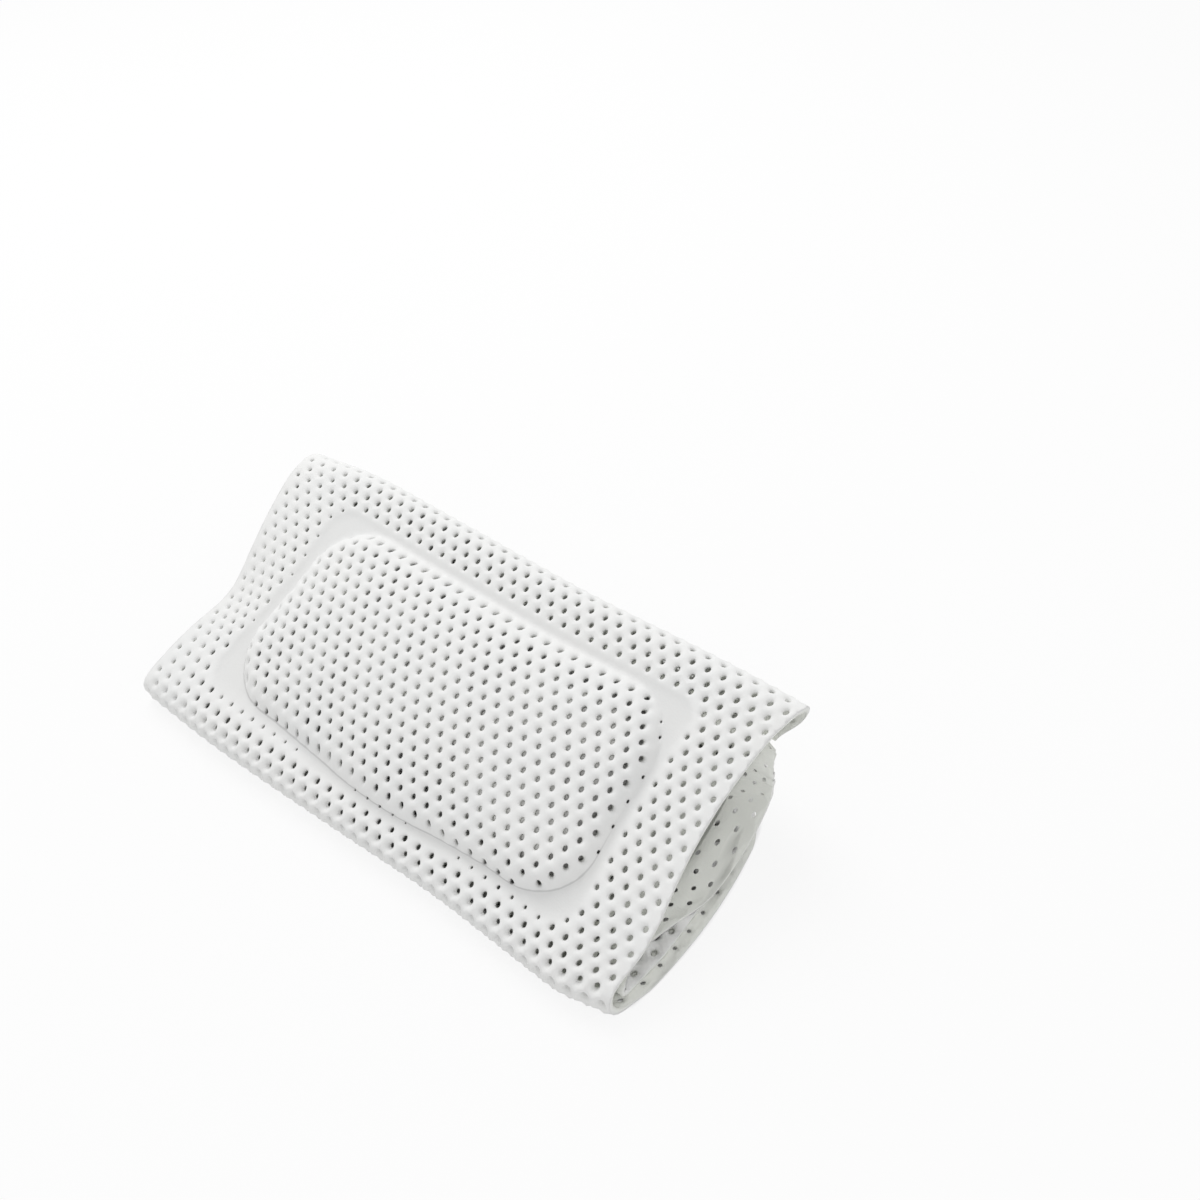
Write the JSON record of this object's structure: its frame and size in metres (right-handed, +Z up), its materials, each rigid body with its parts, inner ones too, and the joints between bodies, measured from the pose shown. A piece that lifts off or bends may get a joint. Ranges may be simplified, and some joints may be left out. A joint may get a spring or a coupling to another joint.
{
  "type": "bath pillow",
  "caption": "Folded bath pillow of white perforated foam sheet: a domed pad on a sloping face, a flap over the crest, the mat's tail folded inside, and suction cups behind the pad.",
  "frame": {"origin": "middle of the folded pillow's footprint, on the surface that it lies on", "axes": "+X along the front fold, +Y from the front fold to the crest's side, +Z up"},
  "size_m": [0.35, 0.164, 0.089],
  "materials": {
    "foam": "soft matt closed-cell vinyl foam, perforated all over",
    "film": "plain satin vinyl film",
    "core": "open-cell upholstery foam",
    "clear_vinyl": "clear flexible vinyl"
  },
  "bodies": {
    "mat": {"bottom_sheet": "foam", "rear_fold": "foam", "inner_lower_run": "foam", "hairpin_fold": "foam", "inner_upper_run": "foam", "rolled_end": "foam"},
    "pillow": {"pillow_cover": "foam", "pad_filling": "core", "pad_backing": "film", "cup_base_1": "film", "cup_base_2": "film", "cup_base_3": "film", "cup_base_4": "film", "cup_base_5": "film", "cup_base_6": "film", "suction_cup_1": "clear_vinyl", "suction_cup_2": "clear_vinyl", "suction_cup_3": "clear_vinyl", "suction_cup_4": "clear_vinyl", "suction_cup_5": "clear_vinyl", "suction_cup_6": "clear_vinyl"},
    "head_flap": {"head_flap": "foam"}
  },
  "joints": [
    {"name": "pillow_fold", "type": "hinge", "parent": "mat", "child": "pillow", "pos_m": [0, -0.08199, 0.01], "axis": [1, 0, 0], "range_deg": [0, 140]},
    {"name": "head_flap_fold", "type": "hinge", "parent": "pillow", "child": "head_flap", "pos_m": [0, 0.07848, 0.08551], "axis": [1, 0, 0], "range_deg": [0, 95]}
  ]
}
